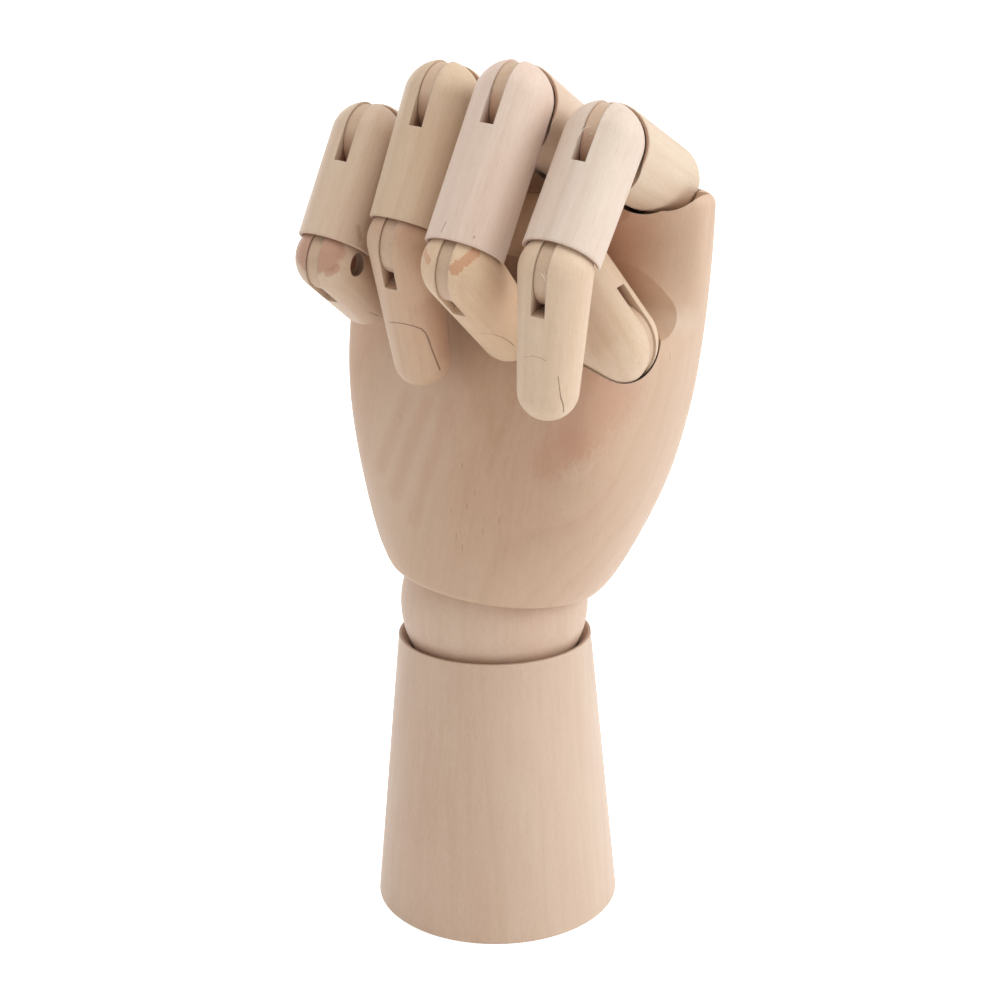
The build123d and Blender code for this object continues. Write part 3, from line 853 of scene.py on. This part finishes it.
def bright_to_camera(w, strength):
    """Light strength for camera, mirror and glass rays, so that they all see the pale background."""
    path = w.node("ShaderNodeLightPath").outputs
    seen = w.math("MAXIMUM", path["Is Camera Ray"], path["Is Glossy Ray"])
    return w.math("MULTIPLY", w.math("MAXIMUM", seen, path["Is Transmission Ray"]), strength)


# Lamps by their power setting: name, side in metres, place and tint, all aimed at the middle of the hand
LAMPS = {
    "key": ("key_right", 0.5, (0.8, 0.25, 0.45), (0.96, 0.98, 1)),
    "top": ("top", 0.6, (0.15, -0.1, 0.9), (0.97, 0.99, 1)),
    "rim": ("rim_left", 0.4, (-0.65, 0.35, 0.3), (0.97, 0.98, 1)),
}
LAMP_AIM = (0, 0, 0.11)
# How strongly the floor glows where the camera sees it, so that it comes out white round the shadow
FLOOR_GLOW = 0.75


def area_lamp(power, name, size, place, tint):
    lamp = bpy.data.lights.new(name, "AREA")
    lamp.energy, lamp.size, lamp.color = power, size, tint
    made = bpy.data.objects.new(name, lamp)
    made.location = place
    made.rotation_euler = (Vector(LAMP_AIM) - Vector(place)).to_track_quat("-Z", "Y").to_euler()
    bpy.context.scene.collection.objects.link(made)


# The camera's swing round the hand, pitch, yaw and roll in degrees, and its distance and height in mm
CAMERA_TURNS = (27.5, 16.35, 0.235, -0.61)
CAMERA_AWAY = 324.4
CAMERA_HEIGHT = 180


def camera_place():
    """Matrix of the camera: off and up from the foot, pitched and rolled, then swung round the hand."""
    swing, pitch, yaw, roll = (radians(angle) for angle in CAMERA_TURNS)
    aligned = np.array(((cos(swing), -sin(swing), 0), (sin(swing), cos(swing), 0), (0, 0, 1)))
    forward = np.array((sin(yaw) * cos(pitch), cos(yaw) * cos(pitch), -sin(pitch)))
    right = np.array((cos(yaw), -sin(yaw), 0))
    up = np.cross(right, forward)
    place = np.eye(4)
    place[:3, 0] = aligned @ (cos(roll) * right + sin(roll) * up)
    place[:3, 1] = aligned @ (cos(roll) * up - sin(roll) * right)
    place[:3, 2] = aligned @ -forward
    place[:3, 3] = aligned @ (0, -CAMERA_AWAY * MM, CAMERA_HEIGHT * MM)
    return Matrix(place.tolist())


class HANDWOOD_OT_stage(bpy.types.Operator):
    """Set the floor, the lights, the pale background and the camera"""

    bl_idname = "handwood.stage"
    bl_label = "Studio"

    def execute(self, context):
        studio = context.scene.wooden_hand.studio
        floor = grid_mesh("studio_floor", plain_floor(studio.floor_radius))
        material, w, shader = new_material("white_floor")
        w.feed_all(
            shader,
            {
                "Base Color": (0.9, 0.9, 0.9, 1), "Roughness": 0.9, "Emission Color": (1, 1, 1, 1),
                "Emission Strength": bright_to_camera(w, FLOOR_GLOW),
            },
        )
        floor.data.materials.append(material)

        world = bpy.data.worlds.new("white_studio")
        context.scene.world = world
        world.use_nodes = True
        w = Wiring(world.node_tree)
        background = world.node_tree.nodes["Background"]
        background.inputs["Color"].default_value = (1, 1, 1, 1)
        w.feed(background.inputs["Strength"], w.math("MAXIMUM", bright_to_camera(w, 1.0), studio.sky))

        for setting, lamp in LAMPS.items():
            area_lamp(getattr(studio, setting), *lamp)

        lens = bpy.data.cameras.new("photo_camera")
        lens.lens, lens.sensor_width = studio.lens, 36
        lens.clip_start, lens.clip_end = 0.01, 20
        camera = bpy.data.objects.new("photo_camera", lens)
        camera.matrix_world = camera_place()
        context.scene.collection.objects.link(camera)
        context.scene.camera = camera
        context.scene.view_settings.view_transform = "Standard"
        return {"FINISHED"}


class HANDWOOD_PT_panel(bpy.types.Panel):
    """Lists the steps and their settings"""

    bl_idname = "HANDWOOD_PT_panel"
    bl_label = "Wooden hand"
    bl_space_type = "VIEW_3D"
    bl_region_type = "UI"
    bl_category = "Wooden hand"

    def draw(self, context):
        for step in STEPS:
            self.layout.operator(step.bl_idname)
        settings = context.scene.wooden_hand
        for group in (settings.woods, settings.grain, settings.studio):
            box = self.layout.box()
            for name in group.__annotations__:
                box.prop(group, name)


STEPS = (
    HANDWOOD_OT_groups,
    HANDWOOD_OT_forearm,
    HANDWOOD_OT_palm,
    HANDWOOD_OT_fingers,
    HANDWOOD_OT_thumb,
    HANDWOOD_OT_tongues,
    HANDWOOD_OT_fibres,
    HANDWOOD_OT_steel,
    HANDWOOD_OT_stage,
)
CLASSES = (HandWoods, HandGrain, HandStudio, HandSettings, *STEPS, HANDWOOD_PT_panel)


def register():
    for cls in CLASSES:
        bpy.utils.register_class(cls)
    bpy.types.Scene.wooden_hand = bpy.props.PointerProperty(type=HandSettings)


def unregister():
    del bpy.types.Scene.wooden_hand
    for cls in reversed(CLASSES):
        bpy.utils.unregister_class(cls)


def main():
    register()
    for step in STEPS:
        family, name = step.bl_idname.split(".")
        getattr(getattr(bpy.ops, family), name)()


if __name__ == "__main__":
    main()
